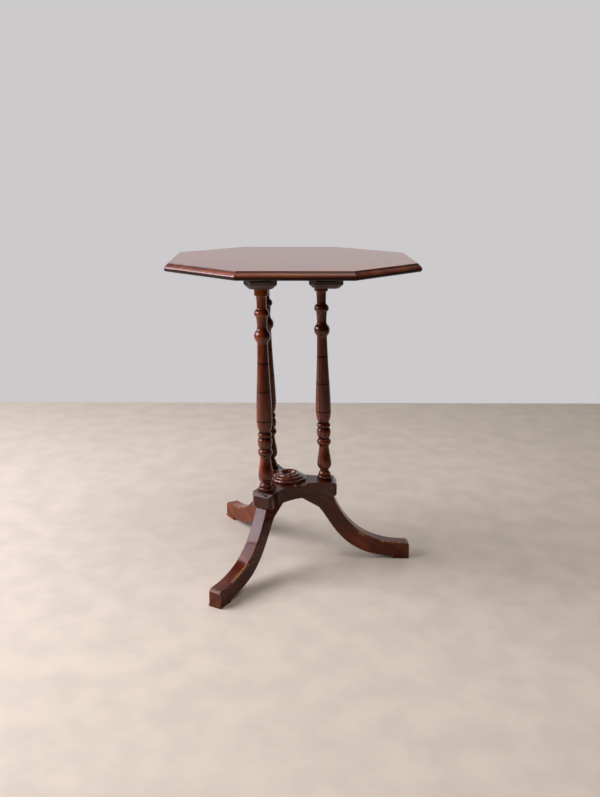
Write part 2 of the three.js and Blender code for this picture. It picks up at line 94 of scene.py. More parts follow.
class Station(Enum):
    """The three places round the table where a leg, a column and a block stand."""

    RIGHT = Stance(0.0, 117.5, 0.0, (0.0, 0.0))
    BACK = Stance(114.0, 109.0, 122.2, (9.5, 5.7))
    FRONT = Stance(241.5, 112.0, 239.3, (2.9, -1.7))

    @property
    def label(self) -> str:
        """The station's word in the names of the CAD nodes."""
        return self.name.lower()


class Body(Enum):
    """The two bodies that the tilt hinge joins."""

    BASE = "base"
    TOP = "top"


# ---- materials ----------------------------------------------------------------------------


class Signal:
    """A number inside a material. Arithmetic on it adds Math nodes to the sheet it is on."""

    def __init__(self, sheet: "NodeSheet", socket: Socket) -> None:
        """Wraps the output socket that carries the number, and keeps the sheet that new nodes go on."""
        self.sheet = sheet
        self.socket = socket

    def _math(self, operation: str, first: Any, second: Any = 0.0) -> "Signal":
        """Adds one Math node and returns its result."""
        return self.sheet.number("ShaderNodeMath", {"operation": operation}, {0: first, 1: second})

    def __add__(self, other: Any) -> "Signal":
        """Adds a number or signal."""
        return self._math("ADD", self, other)

    __radd__ = __add__

    def __sub__(self, other: Any) -> "Signal":
        """Takes a number or signal away."""
        return self._math("SUBTRACT", self, other)

    def __rsub__(self, other: Any) -> "Signal":
        """Takes this signal away from a number."""
        return self._math("SUBTRACT", other, self)

    def __mul__(self, other: Any) -> "Signal":
        """Multiplies by a number or signal."""
        return self._math("MULTIPLY", self, other)

    __rmul__ = __mul__

    def __truediv__(self, other: Any) -> "Signal":
        """Divides by a number or signal."""
        return self._math("DIVIDE", self, other)

    def highest(self, other: Any) -> "Signal":
        """The larger of this and another number or signal."""
        return self._math("MAXIMUM", self, other)

    def between(self, low: float, high: float) -> "Signal":
        """Maps low to 0 and high to 1, smoothly, and holds it there beyond them."""
        settings = {"interpolation_type": "SMOOTHSTEP"}
        return self.sheet.number("ShaderNodeMapRange", settings, {0: self, 1: low, 2: high})


class NodeSheet:
    """The node tree of one material or of the world."""

    def __init__(self, tree: bpy.types.NodeTree) -> None:
        """Clears a node tree and keeps it."""
        self.tree = tree
        self.tree.nodes.clear()

    def node(self, kind: str, settings: dict[str, Any], values: dict[Any, Any]) -> bpy.types.Node:
        """Adds one node.

        Args:
            kind: The node's type.
            settings: Its settings, such as an operation, and "stops" for a ramp's colours.
            values: A value, signal or output socket for each input, by name or number.

        Returns:
            The new node.
        """
        made = self.tree.nodes.new(kind)
        for name, setting in settings.items():
            if name == "stops":
                self._set_stops(made.color_ramp, setting)
            else:
                setattr(made, name, setting)
        for name, value in values.items():
            if isinstance(value, Signal):
                value = value.socket
            if isinstance(value, Socket):
                self.tree.links.new(value, made.inputs[name])
            else:
                made.inputs[name].default_value = value
        return made

    @staticmethod
    def _set_stops(ramp: bpy.types.ColorRamp, stops: Sequence[tuple[float, tuple]]) -> None:
        """Sets a ramp's stops.

        Args:
            ramp: The ramp.
            stops: A place from 0 to 1 and a colour for each stop.
        """
        while len(ramp.elements) < len(stops):
            ramp.elements.new(0.5)
        for element, (place, colour) in zip(ramp.elements, stops):
            element.position = place
            element.color = (*colour, 1.0)

    def number(self, kind: str, settings: dict[str, Any], values: dict[Any, Any]) -> Signal:
        """Adds a node and returns its first output as a signal."""
        return Signal(self, self.node(kind, settings, values).outputs[0])

    def noise(self, at: Socket, scale: float, detail: float = 3.0, twist: float = 0.0) -> Signal:
        """Adds a noise texture that reads the coordinates at, and returns it, from 0 to 1 about 0.5."""
        values = {"Vector": at, "Scale": scale, "Detail": detail, "Distortion": twist}
        return self.number("ShaderNodeTexNoise", {}, values)

    def mix(self, share: Any, first: Any, second: Any, how: str = "MIX") -> Socket:
        """Mixes two colours.

        Args:
            share: How much of the second colour shows, from 0 to 1.
            first: A colour or a colour socket.
            second: A colour or a colour socket.
            how: The blend type.

        Returns:
            The mixed colour's socket.
        """
        settings = {"data_type": "RGBA", "blend_type": how}
        colours = [(*c, 1.0) if isinstance(c, tuple) else c for c in (first, second)]
        return self.node("ShaderNodeMix", settings, {0: share, 6: colours[0], 7: colours[1]}).outputs[2]

    def attribute(self, name: str) -> Signal:
        """Reads a number that is stored on the piece's mesh."""
        found = self.node("ShaderNodeAttribute", {"attribute_name": name}, {})
        return Signal(self, found.outputs["Fac"])

    def place(self) -> Socket:
        """The coordinates of the piece itself."""
        return self.node("ShaderNodeTexCoord", {}, {}).outputs["Object"]

    def relief(self, strength: float, depth: float, height: Signal) -> Socket:
        """Adds a bump, whose depth is in metres, and returns the surface normal."""
        values = {"Strength": strength, "Distance": depth, "Height": height}
        return self.node("ShaderNodeBump", {}, values).outputs[0]

    def surface(self, values: dict[str, Any]) -> None:
        """Ends the sheet with a surface shader that takes these values."""
        shader = self.node("ShaderNodeBsdfPrincipled", {}, values)
        self.node("ShaderNodeOutputMaterial", {}, {"Surface": shader.outputs[0]})


def blank_material(name: str) -> tuple[Finish, NodeSheet]:
    """Makes an empty material.

    Args:
        name: The material's name.

    Returns:
        The material and its sheet of nodes.
    """
    material = bpy.data.materials.new(name)
    material.use_nodes = True
    return material, NodeSheet(material.node_tree)


@dataclass(frozen=True)
class RubbedSpot:
    """A place where polish has worn through to pale wood: centre and radius in millimetres."""

    x: float
    y: float
    z: float
    radius: float

    def nearness(self, sheet: NodeSheet, place: Socket) -> Signal:
        """Adds the nodes that say how near a place is to the spot.

        Args:
            sheet: The material's sheet.
            place: The coordinates.

        Returns:
            1 at the spot's centre, 0 at its edge.
        """
        centre = (self.x * MM, self.y * MM, self.z * MM)
        away = sheet.node("ShaderNodeVectorMath", {"operation": "DISTANCE"}, {0: place, 1: centre})
        return 1.0 - Signal(sheet, away.outputs["Value"]) / (self.radius * MM)


@dataclass(frozen=True)
class Mahogany:
    """French-polished mahogany. Colours are linear; the grain runs along local X before the turns."""

    name: str
    deep: Colour = (0.032, 0.0044, 0.0016)
    body: Colour = (0.080, 0.0110, 0.0030)
    glow: Colour = (0.250, 0.0500, 0.0085)
    worn: Colour = (0.360, 0.1750, 0.0750)
    # Painted shade: the near-black colour that marked hollows, quirks and the nail hole are darkened to.
    painted_shade_colour: Colour = (0.008, 0.0022, 0.0016)
    grain_pitch: float = 0.0
    grain_turn: float = 0.0
    roughness: float = 0.20
    polish: float = 0.55
    polish_roughness: float = 0.10
    sheen: float = 0.10
    refraction: float = 1.5
    figure_scale: float = 55.0
    streak_scale: float = 420.0
    pore_scale: float = 1500.0
    cloud_scale: float = 9.0
    fleck_scale: float = 260.0
    pore_darkness: float = 0.35
    relief_strength: float = 0.22
    relief_depth: float = 0.0006
    wear: float = 0.5
    spots: tuple[RubbedSpot, ...] = ()

    def build(self) -> Finish:
        """Makes the material.

        Returns:
            The finished material.
        """
        material, sheet = blank_material(self.name)
        place = sheet.place()
        turns = (0.0, math.radians(self.grain_pitch), -math.radians(self.grain_turn))
        along = sheet.node("ShaderNodeMapping", {}, {"Vector": place, "Rotation": turns}).outputs[0]

        def stretched(length: float) -> Socket:
            """Coordinates for a pattern so many times longer than wide along the grain."""
            values = {"Vector": along, "Scale": (1.0 / length, 1.0, 1.0)}
            return sheet.node("ShaderNodeMapping", {}, values).outputs[0]

        figure = sheet.noise(stretched(10.0), self.figure_scale, 5.0, 0.6)
        streak = sheet.noise(stretched(22.0), self.streak_scale, 3.0, 0.2)
        pores = sheet.noise(stretched(14.0), self.pore_scale, 1.0).between(0.60, 0.72)
        cloud = sheet.noise(place, self.cloud_scale, 4.0, 0.4)
        fleck = sheet.noise(place, self.fleck_scale, 3.0)
        painted_shade = sheet.attribute("painted_shade")

        tone = (figure * 0.55 + streak * 0.25 + cloud * 0.30 - 0.05).between(0.22, 0.82)
        stops = [(0.0, self.deep), (0.48, self.body), (1.0, self.glow)]
        wood = sheet.node("ShaderNodeValToRGB", {"stops": stops}, {0: tone}).outputs[0]
        wood = sheet.mix(pores * 0.55, wood, tuple(c * self.pore_darkness for c in self.deep))
        # Painted shade: points marked as hollows are darkened towards near black; their polish is also dulled
        # below.
        wood = sheet.mix((painted_shade * (0.6 + cloud * 0.6)).between(0.15, 1.0), wood, self.painted_shade_colour)
        rubbed = self._rubbed(sheet, place, cloud, fleck, streak)
        wood = sheet.mix(rubbed, wood, self.worn)

        height = fleck * 0.06 - pores * 0.45 + cloud * 0.12 + streak * 0.14
        sheet.surface({
            "Base Color": wood,
            "Roughness": self.roughness + (cloud - 0.5) * 0.08 + pores * 0.10 + rubbed * 0.30 + painted_shade * 0.15,
            "Normal": sheet.relief(self.relief_strength, self.relief_depth, height),
            "Coat Weight": self.polish - (painted_shade * 0.85 + rubbed * 0.5) * self.polish,
            "Coat Roughness": self.polish_roughness,
            "Coat IOR": self.refraction,
            "IOR": self.refraction,
            "Specular IOR Level": self.sheen,
        })
        return material

    def _rubbed(
        self, sheet: NodeSheet, place: Socket, cloud: Signal, fleck: Signal, streak: Signal
    ) -> Signal:
        """Works out where the polish has rubbed through.

        Args:
            sheet: The material's sheet.
            place: The piece's coordinates.
            cloud: The broad pattern.
            fleck: The fine pattern.
            streak: The pattern along the grain.

        Returns:
            0 where the polish is whole, up to 1 where it has gone.
        """
        patchy = (cloud * 0.7 + fleck * 0.5 - 0.28).between(0.30 - 0.1 * self.wear, 0.52)
        rubbed = sheet.attribute("arris") * patchy * self.wear
        for spot in self.spots:
            ragged = spot.nearness(sheet, place) + (fleck - 0.5) * 0.9 + (streak - 0.5) * 0.8
            rubbed = rubbed.highest(ragged.between(0.12, 0.55) * 0.7)
        return rubbed


@dataclass(frozen=True)
class AgedMetal:
    """Metal that has dulled with handling. Colours are linear."""

    name: str
    bright: Colour
    dull: Colour
    roughness: float
    tarnish_scale: float = 190.0
    scratch_scale: float = 2400.0

    def build(self) -> Finish:
        """Makes the material.

        Returns:
            The finished material.
        """
        material, sheet = blank_material(self.name)
        place = sheet.place()
        tarnish = sheet.noise(place, self.tarnish_scale, 5.0, 0.5)
        scratch = sheet.noise(place, self.scratch_scale, 2.0)
        sheet.surface({
            "Base Color": sheet.mix(tarnish.between(0.35, 0.65), self.bright, self.dull),
            "Metallic": 1.0,
            "Roughness": self.roughness + tarnish * 0.3 + scratch * 0.08,
            "Normal": sheet.relief(0.15, 0.0001, scratch + tarnish * 0.5),
        })
        return material


@dataclass(frozen=True)
class StudioFloor:
    """Plain pale matt floor."""

    name: str = "studio_floor"
    colour: Colour = (0.53, 0.462, 0.380)
    mottle_scale: float = 14.0
    mottle_lift: float = 1.12

    def build(self) -> Finish:
        """Makes the material.

        Returns:
            The finished material.
        """
        material, sheet = blank_material(self.name)
        mottle = sheet.noise(sheet.place(), self.mottle_scale, 6.0)
        paler = tuple(min(1.0, c * self.mottle_lift) for c in self.colour)
        colour = sheet.mix(mottle.between(0.3, 0.7), self.colour, paler)
        sheet.surface({"Base Color": colour, "Roughness": 0.62 + mottle * 0.1})
        return material


# ---- modelling ----------------------------------------------------------------------------


class Bench:
    """Modelling operators, used on one mesh at a time."""

    weld: float = 2e-6

    @staticmethod
    def trace(points: Sequence[Vector]) -> None:
        """Draws a line of edges through points in a new mesh, which is left in edit mode.

        Args:
            points: The points, in metres.
        """
        bpy.ops.object.select_all(action="DESELECT")
        bpy.ops.mesh.primitive_plane_add(size=0.002, location=(0.0, 0.0, 0.0))
        bpy.ops.object.mode_set(mode="EDIT")
        bpy.ops.mesh.select_mode(type="VERT")
        bpy.ops.mesh.select_all(action="SELECT")
        bpy.ops.mesh.merge(type="CENTER")
        bpy.ops.transform.translate(value=points[0])
        for here, there in zip(points, points[1:]):
            bpy.ops.mesh.extrude_vertices_move(TRANSFORM_OT_translate={"value": there - here})

    @staticmethod
    def close() -> None:
        """Merges doubled points and turns every face outwards."""
        bpy.ops.mesh.select_all(action="SELECT")
        bpy.ops.mesh.remove_doubles(threshold=Bench.weld)
        bpy.ops.mesh.normals_make_consistent(inside=False)

    @staticmethod
    def lathe(profile: Sequence[Vector], centre: Vector, steps: int) -> None:
        """Spins a profile about an upright axis into a closed body.

        Args:
            profile: The profile's points, from the axis and back to it.
            centre: A point on the axis.
            steps: How many faces go round.
        """
        Bench.trace(profile)
        bpy.ops.mesh.select_all(action="SELECT")
        bpy.ops.mesh.spin(steps=steps, angle=2.0 * math.pi, center=centre, axis=(0.0, 0.0, 1.0))
        Bench.close()

    @staticmethod
    def slab(outline: Sequence[Vector], through: Vector) -> None:
        """Fills an outline and extrudes it into a closed body.

        Args:
            outline: The outline's points, each once.
            through: The way and the length of the extrusion.
        """
        Bench.trace([*outline, outline[0]])
        bpy.ops.mesh.select_all(action="SELECT")
        bpy.ops.mesh.remove_doubles(threshold=Bench.weld)
        bpy.ops.mesh.edge_face_add()
        bpy.ops.mesh.extrude_region_move(TRANSFORM_OT_translate={"value": through})
        Bench.close()

    @staticmethod
    def slice_off(at: Vector, outwards: Vector) -> None:
        """Cuts away everything on the outward side of the plane through a point, and fills the cut."""
        bpy.ops.mesh.select_all(action="SELECT")
        bpy.ops.mesh.bisect(plane_co=at, plane_no=outwards, use_fill=True, clear_outer=True, threshold=1e-6)

    @staticmethod
    def canted_box(low: Vector, high: Vector, corner: float) -> None:
        """Makes a box with its upright corners canted, and leaves it in edit mode.

        Args:
            low: Its lowest corner.
            high: Its highest corner.
            corner: How much of each side a corner takes, in millimetres.
        """
        bpy.ops.object.select_all(action="DESELECT")
        bpy.ops.mesh.primitive_cube_add(size=1.0, location=(low + high) / 2.0, scale=high - low)
        bpy.ops.object.transform_apply(location=True, rotation=True, scale=True)
        bpy.ops.object.mode_set(mode="EDIT")
        Bench.pick(lambda edge: abs((edge.verts[0].co - edge.verts[1].co).normalized().z) > 0.9, "EDGE")
        bpy.ops.mesh.bevel(offset=corner * MM, segments=1, affect="EDGES")

    @staticmethod
    def taper_underside(inwards: float, down: float) -> None:
        """Insets the underside of the mesh in edit mode and drops it, which chamfers its edge.

        Args:
            inwards: How far the underside shrinks on each side, in millimetres.
            down: How far it drops, in millimetres.
        """
        Bench.pick(lambda face: face.normal.z < -0.9)
        bpy.ops.mesh.inset(thickness=inwards * MM, depth=down * MM)
        Bench.close()

    @staticmethod
    def pick(wanted: Callable[[Any], bool], kind: str = "FACE") -> None:
        """Selects faces, edges or points of the mesh in edit mode.

        Args:
            wanted: Says whether a face, edge or point is wanted.
            kind: "FACE", "EDGE" or "VERT".
        """
        bpy.ops.mesh.select_all(action="DESELECT")
        bpy.ops.mesh.select_mode(type=kind)
        mesh = bpy.context.object.data
        shape = bmesh.from_edit_mesh(mesh)
        for part in {"FACE": shape.faces, "EDGE": shape.edges, "VERT": shape.verts}[kind]:
            if wanted(part):
                part.select_set(True)
        bmesh.update_edit_mesh(mesh)

    @staticmethod
    def take_up(piece: Piece) -> None:
        """Selects one piece and no other."""
        bpy.ops.object.select_all(action="DESELECT")
        bpy.context.view_layer.objects.active = piece
        piece.select_set(True)

    @staticmethod
    def store(piece: Piece, name: str, values: Sequence[float], kind: str = "POINT") -> None:
        """Stores a number for each point or face of a piece, which its material reads."""
        piece.data.attributes.new(name, "FLOAT", kind).data.foreach_set("value", values)

    @staticmethod
    def paint_shade(piece: Piece, depth: Callable[[Vector], float]) -> None:
        """Stores how much painted shade each point of a piece gets, as depth says, from 0 to 1."""
        Bench.store(piece, "painted_shade", [min(1.0, max(0.0, depth(v.co))) for v in piece.data.vertices])

    @staticmethod
    def leave(name: str) -> Piece:
        """Leaves edit mode.

        Args:
            name: The piece's name.

        Returns:
            The piece, with its place in its mesh.
        """
        bpy.ops.object.mode_set(mode="OBJECT")
        piece = bpy.context.object
        piece.name = piece.data.name = name
        bpy.ops.object.transform_apply(location=True, rotation=True, scale=True)
        return piece

    @staticmethod
    def soften(piece: Piece, width: float, segments: int = 3, angle: float = 32.0) -> None:
        """Rounds a piece's sharp edges and marks the rounded faces as its arrises.

        Args:
            piece: The piece.
            width: The rounding's width, in millimetres.
            segments: The faces across it.
            angle: Edges sharper than this many degrees are rounded.
        """
        for _ in range(2):
            piece.data.materials.append(None)
        edge = piece.modifiers.new("arris", "BEVEL")
        edge.width, edge.segments, edge.material = width * MM, segments, 1
        edge.limit_method, edge.angle_limit = "ANGLE", math.radians(angle)
        bpy.context.view_layer.objects.active = piece
        bpy.ops.object.modifier_apply(modifier=edge.name)
        mesh = piece.data
        marks = [float(face.material_index == 1) for face in mesh.polygons]
        Bench.store(piece, "arris", marks, "FACE")
        mesh.polygons.foreach_set("material_index", [0] * len(marks))
        mesh.materials.clear()

    @staticmethod
    def carve(piece: Piece, cutter: Piece) -> None:
        """Cuts one body out of another and removes the cutter.

        Args:
            piece: The body that is cut.
            cutter: The body that is taken away.
        """
        cut = piece.modifiers.new("cut", "BOOLEAN")
        cut.operation, cut.object, cut.solver = "DIFFERENCE", cutter, "EXACT"
        Bench.take_up(piece)
        bpy.ops.object.modifier_apply(modifier=cut.name)
        bpy.data.objects.remove(cutter, do_unlink=True)

    @staticmethod
    def drill(piece: Piece, at: Vector, line: Outline, steps: int) -> None:
        """Turns a cutter about an upright axis and bores a piece with it.

        Args:
            piece: The piece.
            at: A point on the axis.
            line: The cutter's (radius, height) points, in metres, from the axis and back to it.
            steps: How many faces go round.
        """
        Bench.lathe([Vector((at.x + r, at.y, z)) for r, z in line], Vector((at.x, at.y, 0.0)), steps)
        Bench.carve(piece, Bench.leave("cutter"))

    @staticmethod
    def round_hole(low: float, high: float, radius: float) -> Outline:
        """The cutter's line for a plain hole from one height to another, in metres."""
        return [(0.0, low), (radius, low), (radius, high), (0.0, high)]

    @staticmethod
    def shade(piece: Piece, degrees: float = 34.0, flats: bool = True) -> None:
        """Shades a piece smooth, apart from its sharp edges.

        Args:
            piece: The piece.
            degrees: Edges sharper than this stay crisp.
            flats: Whether the piece has large flat faces that keep flat shading up to their arrises.
        """
        Bench.take_up(piece)
        bpy.ops.object.shade_smooth_by_angle(angle=math.radians(degrees))
        if flats:
            even = piece.modifiers.new("flats", "WEIGHTED_NORMAL")
            even.weight, even.keep_sharp = 100, True
            bpy.ops.object.modifier_apply(modifier=even.name)


@dataclass(frozen=True)
class Turning:
    """A lathe profile as runs of (height, radius) in millimetres. Runs meet in a crisp line.

    Each of hollows says how far up and down a hollow's rims are looked for, and how deep a full one is.
    """

    runs: tuple[tuple[tuple[float, float], ...], ...]
    step: float = 0.9
    hollows: tuple[tuple[float, float], ...] = ((5.0, 2.2), (1.6, 0.4))

    def points(self) -> list[tuple[float, float]]:
        """The whole profile, smoothed along each run: a run of three is a bead or a cove.

        Returns:
            The (height, radius) points.
        """
        drawn: list[tuple[float, float]] = []
        for run in self.runs:
            shape = self._bead if len(run) == 3 else self._sweep
            for point in shape(run):
                if not drawn or math.dist(drawn[-1], point) > 0.02:
                    drawn.append(point)
        return drawn

    def _bead(self, run: Outline) -> list[tuple[float, float]]:
        """Half an ellipse from the run's first point through its second to its third."""
        start, crown, end = (Vector(p) for p in run)
        bulge = crown - (start + end) / 2.0
        count = max(8, round(bulge.length * 3.0 / self.step) + 4)
        drawn = []
        for i in range(count + 1):
            turn = math.pi * i / count
            here = start.lerp(end, (1.0 - math.cos(turn)) / 2.0) + bulge * math.sin(turn)
            drawn.append((here.x, here.y))
        return drawn

    def _sweep(self, run: Outline) -> list[tuple[float, float]]:
        """A smooth curve through all the run's points."""
        knots = [Vector(p) for p in run]
        if len(knots) == 2:
            return [tuple(k) for k in knots]
        knots = [knots[0] * 2 - knots[1], *knots, knots[-1] * 2 - knots[-2]]
        drawn = []
        for a, b, c, d in zip(knots, knots[1:], knots[2:], knots[3:]):
            count = max(2, round((c - b).length / self.step))
            for i in range(count):
                t = i / count
                bend, twist = 2 * a - 5 * b + 4 * c - d, 3 * b - a - 3 * c + d
                here = 0.5 * (2 * b + (c - a) * t + bend * t**2 + twist * t**3)
                drawn.append((here.x, here.y))
        drawn.append(tuple(knots[-2]))
        return drawn

    def paint_shade(self, piece: Piece) -> None:
        """Stores on a turned piece how deep each point lies between its neighbours up and down the profile,
        which its material paints as shade.

        Args:
            piece: The turned piece, whose profile's heights are above the floor.
        """
        line = self.points()
        tenths, spread = 10, 8
        depths = {}
        for height, radius in line:
            found = (self._depth(line, height, radius, reach) / full for reach, full in self.hollows)
            depths[round(height * tenths)] = max(found)

        def depth(place: Vector) -> float:
            """The deepest hollow within a spread of tenths of a millimetre."""
            key = round(place.z / MM * tenths)
            return max(depths.get(k, 0.0) for k in range(key - spread, key + spread + 1))

        Bench.paint_shade(piece, depth)

    @staticmethod
    def _depth(line: Outline, height: float, radius: float, reach: float) -> float:
        """How far a point of the profile lies below the lower of the rims above and below it.

        Args:
            line: The profile.
            height: The point's height.
            radius: The point's radius.
            reach: How far up and down the rims are looked for, in millimetres.

        Returns:
            The depth, in millimetres.
        """
        below = max((r for h, r in line if -reach < h - height <= 0.0), default=radius)
        above = max((r for h, r in line if 0.0 <= h - height < reach), default=radius)
        return max(0.0, min(below, above) - radius)


def mount(piece: Piece, body: Body, slot: str, finish: Finish, *nodes: str) -> None:
    """Dresses a finished piece and fixes it to its body.

    Args:
        piece: The piece.
        body: The body that it moves with.
        slot: A material slot's name; not used.
        finish: Its material.
        *nodes: The CAD nodes that it stands for.
    """
    piece.data.materials.clear()
    piece.data.materials.append(finish)
    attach(piece, body.value)
    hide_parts(*nodes)
    LOG.info("%s: %d faces, rides on %s", piece.name, len(piece.data.polygons), body.value)


def middle(node: str) -> Vector:
    """The centre of a CAD node's box."""
    low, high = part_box(node)
    return (low + high) / 2.0


# ---- the pieces ---------------------------------------------------------------------------


@dataclass
class MouldedTop:
    """The octagonal top with its moulded edge. Its four canted sides are a little shorter than the others.

    Each band is a place where the moulding is darkened as painted shade: height, spread and strength.
    """

    node: str = "table_top"
    turn: float = 1.2
    straight_half: float = 253.5
    canted_half: float = 257.7
    moulding: Turning = Turning((
        ((0.0, 3.4), (0.25, 5.0), (1.0, 6.5), (1.8, 7.6)),
        ((1.8, 7.6), (3.8, 8.8), (6.0, 9.2), (7.8, 9.0), (9.4, 8.3)),
        ((9.4, 8.3), (10.0, 7.4)),
        ((10.0, 7.4), (10.9, 7.1)),
        ((10.9, 7.1), (16.2, 1.5)),
        ((16.2, 1.5), (17.0, 1.2), (17.6, 0.9), (18.0, 0.2)),
    ), 0.6)
    shade_bands: tuple[tuple[float, float, float], ...] = ((2.4, 5.8, 3.0), (9.6, 1.2, 1.0), (16.5, 1.2, 1.2))
    inset: float = 2.0
    to_corner: float = math.cos(math.pi / 8)

    def build(self, finish: Finish) -> None:
        """Makes the top by spinning its edge section in eight steps.

        Args:
            finish: The top's material.
        """
        low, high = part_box(self.node)
        centre = (low + high) / 2.0
        ray = self._mitre(0)

        def on_section(height: float, outward: float) -> Vector:
            """A point of the section, from its height and how far it lies outside the straight sides."""
            radius = (self.straight_half + outward) * MM / self.to_corner
            return Vector((centre.x, centre.y, height)) + ray * radius

        section = [Vector((centre.x, centre.y, low.z)), on_section(low.z, -self.inset)]
        section += [on_section(low.z + height * MM, outward) for height, outward in self.moulding.points()]
        section += [on_section(high.z, -self.inset), Vector((centre.x, centre.y, high.z))]
        Bench.lathe(section, centre, 8)
        for corner in range(8):
            self._set_mitre(corner, centre)
        top = Bench.leave("octagonal_top")
        # Painted shade: dark bands along the moulding's quirks and the lower half of its round.
        Bench.paint_shade(top, lambda place: self._painted_shade((place.z - low.z) / MM))
        Bench.shade(top, 30.0)
        mount(top, Body.TOP, "mahogany_top", finish, self.node)

    def _painted_shade(self, height: float) -> float:
        """How much painted shade the moulding gets at a height above the underside, in millimetres."""
        return max(strength * (1.0 - abs(height - at) / spread) for at, spread, strength in self.shade_bands)

    def _mitre(self, corner: int) -> Vector:
        """The way that a corner's mitre line faces. Corners are numbered anticlockwise."""
        angle = math.radians(22.5 + 45.0 * corner + self.turn)
        return Vector((math.cos(angle), math.sin(angle), 0.0))

    def _set_mitre(self, corner: int, centre: Vector) -> None:
        """Slides one mitre line of a regular octagon to where the straight and canted sides meet.

        Args:
            corner: The corner's number, anticlockwise.
            centre: The octagon's centre.
        """
        straight, across = self.straight_half, self.canted_half * math.sqrt(2.0) - self.straight_half
        angle = math.atan2(across, straight)
        # Straight sides face 0, 90, 180 and 270 degrees, so corners come in pairs either side of them.
        side = 90.0 * ((corner + 1) // 2)
        place = math.radians(side + self.turn) + (angle if corner % 2 == 0 else -angle)
        wanted = Vector((math.cos(place), math.sin(place), 0.0)) * math.hypot(straight, across) * MM
        slide = wanted - self._mitre(corner) * straight * MM / self.to_corner

        def on_mitre(vertex: Any) -> bool:
            """Whether a point lies on this corner's mitre line."""
            out = Vector((vertex.co.x - centre.x, vertex.co.y - centre.y, 0.0))
            return out.length > 0.01 and out.normalized().dot(self._mitre(corner)) > 0.98

        Bench.pick(on_mitre, "VERT")
        bpy.ops.transform.translate(value=slide)


@dataclass(frozen=True)
class LeaningAxis:
    """A column's axis, from the centre of its lowest ring to the centre of its highest."""

    foot: Vector
    head: Vector

    @classmethod
    def of(cls, node: Piece) -> "LeaningAxis":
        """Finds the axis of a turned CAD node.

        Args:
            node: The node.

        Returns:
            Its axis.
        """
        points = [vertex.co for vertex in node.data.vertices]
        low, high = min(p.z for p in points), max(p.z for p in points)
        ends = []
        for level in (low, high):
            ring = [p for p in points if abs(p.z - level) < 1e-5]
            xs, ys = [p.x for p in ring], [p.y for p in ring]
            ends.append(Vector(((min(xs) + max(xs)) / 2.0, (min(ys) + max(ys)) / 2.0, level)))
        return cls(*ends)

    def at(self, height: float) -> Vector:
        """The axis's place at a height, in metres."""
        return self.foot.lerp(self.head, (height - self.foot.z) / (self.head.z - self.foot.z))

    def lean(self) -> Matrix:
        """The shear that carries an upright axis through the foot onto this one."""
        rise = self.head.z - self.foot.z
        slope_x, slope_y = (self.head.x - self.foot.x) / rise, (self.head.y - self.foot.y) / rise
        shear = Matrix.Identity(4)
        shear[0][2], shear[0][3] = slope_x, -slope_x * self.foot.z
        shear[1][2], shear[1][3] = slope_y, -slope_y * self.foot.z
        return shear


@dataclass
class Column:
    """A turned column: foot, small vase, rings, long scored vase, ball and bead."""

    turning: Turning = Turning((
        ((193.3, 17.0), (193.7, 17.5)),
        ((193.7, 17.5), (196.2, 17.5)),
        ((196.2, 17.5), (196.6, 17.0)),
        ((196.8, 14.4), (200.4, 15.9), (204.0, 13.9)),
        ((204.4, 11.9), (207.6, 13.7), (210.9, 11.9)),
        ((210.9, 11.9), (213.4, 10.4), (217.2, 10.2), (220.0, 12.0), (224.5, 15.1), (229.6, 16.4),
         (236.8, 16.0), (246.5, 14.7), (259.0, 12.7), (270.5, 11.4)),
        ((270.5, 11.4), (273.6, 11.6), (276.4, 12.7), (278.9, 14.3)),
        ((278.9, 13.6), (284.2, 16.1), (290.0, 13.2)),
        ((290.0, 13.2), (291.6, 12.1)),
        ((291.6, 12.1), (295.4, 13.6), (300.5, 15.3), (307.0, 15.9), (313.0, 15.2), (317.8, 12.2)),
        ((318.2, 11.9), (323.5, 15.4), (328.6, 11.6)),
        ((328.6, 11.6), (334.5, 13.8), (341.5, 15.8), (349.0, 16.7), (355.3, 17.2)),
        ((355.3, 17.2), (356.0, 16.5), (356.7, 17.2)),
        ((356.7, 17.2), (362.0, 17.3), (385.0, 16.8), (413.0, 15.6), (420.3, 15.3)),
        ((420.3, 15.3), (421.0, 14.6), (421.7, 15.2)),
        ((421.7, 15.2), (440.8, 14.2), (477.4, 12.6), (482.3, 12.4)),
        ((482.3, 12.4), (483.0, 11.7), (483.7, 12.35)),
        ((483.7, 12.35), (505.0, 11.7), (526.5, 11.2)),
        ((526.5, 11.2), (530.6, 13.0), (535.0, 16.0), (542.2, 17.5), (549.5, 15.8), (553.6, 12.8),
         (558.8, 10.7), (571.9, 11.1), (583.2, 12.3)),
        ((584.0, 12.6), (590.6, 16.1), (598.6, 11.2)),
        ((598.6, 11.2), (600.6, 10.4), (606.0, 10.2), (622.5, 10.9), (626.6, 12.0), (628.6, 15.1)),
    ))
    collar: float = 15.1
    edge: float = 0.4
    gap: float = 0.3
    tenon: float = 9.0
    block_tenon: float = 10.0
    faces_round: int = 56

    def build(self, station: Station, axis: LeaningAxis, finish: Finish) -> None:
        """Turns one column.

        Args:
            station: Where it stands.
            axis: Its axis.
            finish: Its material.
        """
        node = f"column_{station.label}"
        low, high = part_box(node)
        centre = axis.foot
        block_low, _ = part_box(f"block_{station.label}")
        shoulder = self.turning.runs[0][0][0]
        collar_top = block_low.z / MM - self.gap
        line = [(low.z / MM, 0.0), (low.z / MM, self.tenon), (shoulder, self.tenon)]
        line += self.turning.points()
        line += [(collar_top - self.edge, self.collar), (collar_top, self.collar - self.edge)]
        line += [(collar_top, self.block_tenon), (high.z / MM, self.block_tenon), (high.z / MM, 0.0)]
        section = [Vector((centre.x + r * MM, centre.y, z * MM)) for z, r in line]
        Bench.lathe(section, centre, self.faces_round)
        column = Bench.leave(f"turned_column_{station.label}")
        column.data.transform(axis.lean())
        self.turning.paint_shade(column)
        Bench.shade(column, 38.0, flats=False)
        mount(column, Body.BASE, "mahogany", finish, node)


